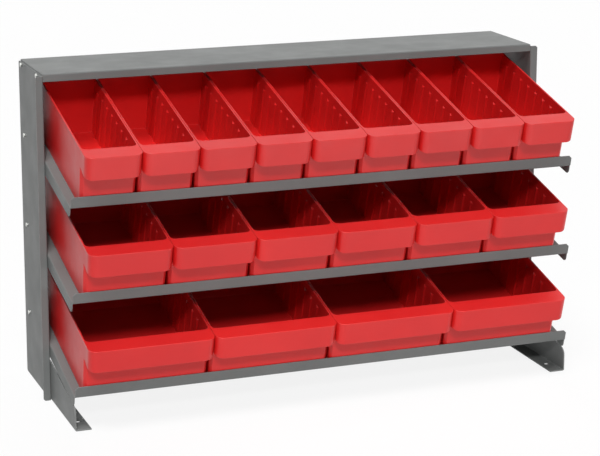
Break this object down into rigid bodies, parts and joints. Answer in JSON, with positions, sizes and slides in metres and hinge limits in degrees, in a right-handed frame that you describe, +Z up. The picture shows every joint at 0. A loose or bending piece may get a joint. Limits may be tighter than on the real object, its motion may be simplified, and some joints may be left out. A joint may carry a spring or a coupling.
{
  "type": "bin rack",
  "caption": "Bench rack of grey sheet steel with sloping shelves that hold loose open-top plastic drawers behind a front lip, each drawer free to be tipped up and lifted out.",
  "frame": {"origin": "floor level, in the middle of the rack's outline seen from above", "axes": "+X to the rack's right seen from the front, +Y to its back, +Z up; the drawers face -Y"},
  "size_m": [0.915, 0.3846, 0.56],
  "materials": {
    "grey_paint": "satin grey enamel on folded sheet steel",
    "red_plastic": "moulded polypropylene, satin",
    "zinc_plate": "bright zinc plate"
  },
  "bodies": {
    "rack": {"left_side_panel": "grey_paint", "right_side_panel": "grey_paint", "top_cover": "grey_paint", "top_shelf": "grey_paint", "middle_shelf": "grey_paint", "bottom_shelf": "grey_paint", "left_foot": "grey_paint", "right_foot": "grey_paint", "cover_bolts": "zinc_plate", "cover_nuts": "zinc_plate", "shelf_bolts": "zinc_plate", "shelf_nuts": "zinc_plate", "foot_bolts": "zinc_plate", "foot_nuts": "zinc_plate"},
    "small_drawer_1": {"small_drawer_1": "red_plastic"},
    "small_drawer_2": {"small_drawer_2": "red_plastic"},
    "small_drawer_3": {"small_drawer_3": "red_plastic"},
    "small_drawer_4": {"small_drawer_4": "red_plastic"},
    "small_drawer_5": {"small_drawer_5": "red_plastic"},
    "small_drawer_6": {"small_drawer_6": "red_plastic"},
    "small_drawer_7": {"small_drawer_7": "red_plastic"},
    "small_drawer_8": {"small_drawer_8": "red_plastic"},
    "small_drawer_9": {"small_drawer_9": "red_plastic"},
    "medium_drawer_1": {"medium_drawer_1": "red_plastic"},
    "medium_drawer_2": {"medium_drawer_2": "red_plastic"},
    "medium_drawer_3": {"medium_drawer_3": "red_plastic"},
    "medium_drawer_4": {"medium_drawer_4": "red_plastic"},
    "medium_drawer_5": {"medium_drawer_5": "red_plastic"},
    "medium_drawer_6": {"medium_drawer_6": "red_plastic"},
    "wide_drawer_1": {"wide_drawer_1": "red_plastic"},
    "wide_drawer_2": {"wide_drawer_2": "red_plastic"},
    "wide_drawer_3": {"wide_drawer_3": "red_plastic"},
    "wide_drawer_4": {"wide_drawer_4": "red_plastic"}
  },
  "joints": [
    {"name": "small_drawer_1_tip", "type": "hinge", "parent": "rack", "child": "small_drawer_1", "pos_m": [-0.38317, 0.1165, 0.43693], "axis": [-1, 0, 0], "range_deg": [0, 10]},
    {"name": "small_drawer_2_tip", "type": "hinge", "parent": "rack", "child": "small_drawer_2", "pos_m": [-0.28792, 0.1165, 0.43693], "axis": [-1, 0, 0], "range_deg": [0, 10]},
    {"name": "small_drawer_3_tip", "type": "hinge", "parent": "rack", "child": "small_drawer_3", "pos_m": [-0.19268, 0.1165, 0.43693], "axis": [-1, 0, 0], "range_deg": [0, 10]},
    {"name": "small_drawer_4_tip", "type": "hinge", "parent": "rack", "child": "small_drawer_4", "pos_m": [-0.09742, 0.1165, 0.43693], "axis": [-1, 0, 0], "range_deg": [0, 10]},
    {"name": "small_drawer_5_tip", "type": "hinge", "parent": "rack", "child": "small_drawer_5", "pos_m": [-0.00217, 0.1165, 0.43693], "axis": [-1, 0, 0], "range_deg": [0, 10]},
    {"name": "small_drawer_6_tip", "type": "hinge", "parent": "rack", "child": "small_drawer_6", "pos_m": [0.09308, 0.1165, 0.43693], "axis": [-1, 0, 0], "range_deg": [0, 10]},
    {"name": "small_drawer_7_tip", "type": "hinge", "parent": "rack", "child": "small_drawer_7", "pos_m": [0.18832, 0.1165, 0.43693], "axis": [-1, 0, 0], "range_deg": [0, 10]},
    {"name": "small_drawer_8_tip", "type": "hinge", "parent": "rack", "child": "small_drawer_8", "pos_m": [0.28358, 0.1165, 0.43693], "axis": [-1, 0, 0], "range_deg": [0, 10]},
    {"name": "small_drawer_9_tip", "type": "hinge", "parent": "rack", "child": "small_drawer_9", "pos_m": [0.37883, 0.1165, 0.43693], "axis": [-1, 0, 0], "range_deg": [0, 10]},
    {"name": "medium_drawer_1_tip", "type": "hinge", "parent": "rack", "child": "medium_drawer_1", "pos_m": [-0.35785, 0.1165, 0.27943], "axis": [-1, 0, 0], "range_deg": [0, 10]},
    {"name": "medium_drawer_2_tip", "type": "hinge", "parent": "rack", "child": "medium_drawer_2", "pos_m": [-0.21655, 0.1165, 0.27943], "axis": [-1, 0, 0], "range_deg": [0, 10]},
    {"name": "medium_drawer_3_tip", "type": "hinge", "parent": "rack", "child": "medium_drawer_3", "pos_m": [-0.07525, 0.1165, 0.27943], "axis": [-1, 0, 0], "range_deg": [0, 10]},
    {"name": "medium_drawer_4_tip", "type": "hinge", "parent": "rack", "child": "medium_drawer_4", "pos_m": [0.06605, 0.1165, 0.27943], "axis": [-1, 0, 0], "range_deg": [0, 10]},
    {"name": "medium_drawer_5_tip", "type": "hinge", "parent": "rack", "child": "medium_drawer_5", "pos_m": [0.20735, 0.1165, 0.27943], "axis": [-1, 0, 0], "range_deg": [0, 10]},
    {"name": "medium_drawer_6_tip", "type": "hinge", "parent": "rack", "child": "medium_drawer_6", "pos_m": [0.34865, 0.1165, 0.27943], "axis": [-1, 0, 0], "range_deg": [0, 10]},
    {"name": "wide_drawer_1_tip", "type": "hinge", "parent": "rack", "child": "wide_drawer_1", "pos_m": [-0.32535, 0.1165, 0.12193], "axis": [-1, 0, 0], "range_deg": [0, 10]},
    {"name": "wide_drawer_2_tip", "type": "hinge", "parent": "rack", "child": "wide_drawer_2", "pos_m": [-0.11265, 0.1165, 0.12193], "axis": [-1, 0, 0], "range_deg": [0, 10]},
    {"name": "wide_drawer_3_tip", "type": "hinge", "parent": "rack", "child": "wide_drawer_3", "pos_m": [0.10005, 0.1165, 0.12193], "axis": [-1, 0, 0], "range_deg": [0, 10]},
    {"name": "wide_drawer_4_tip", "type": "hinge", "parent": "rack", "child": "wide_drawer_4", "pos_m": [0.31275, 0.1165, 0.12193], "axis": [-1, 0, 0], "range_deg": [0, 10]}
  ]
}
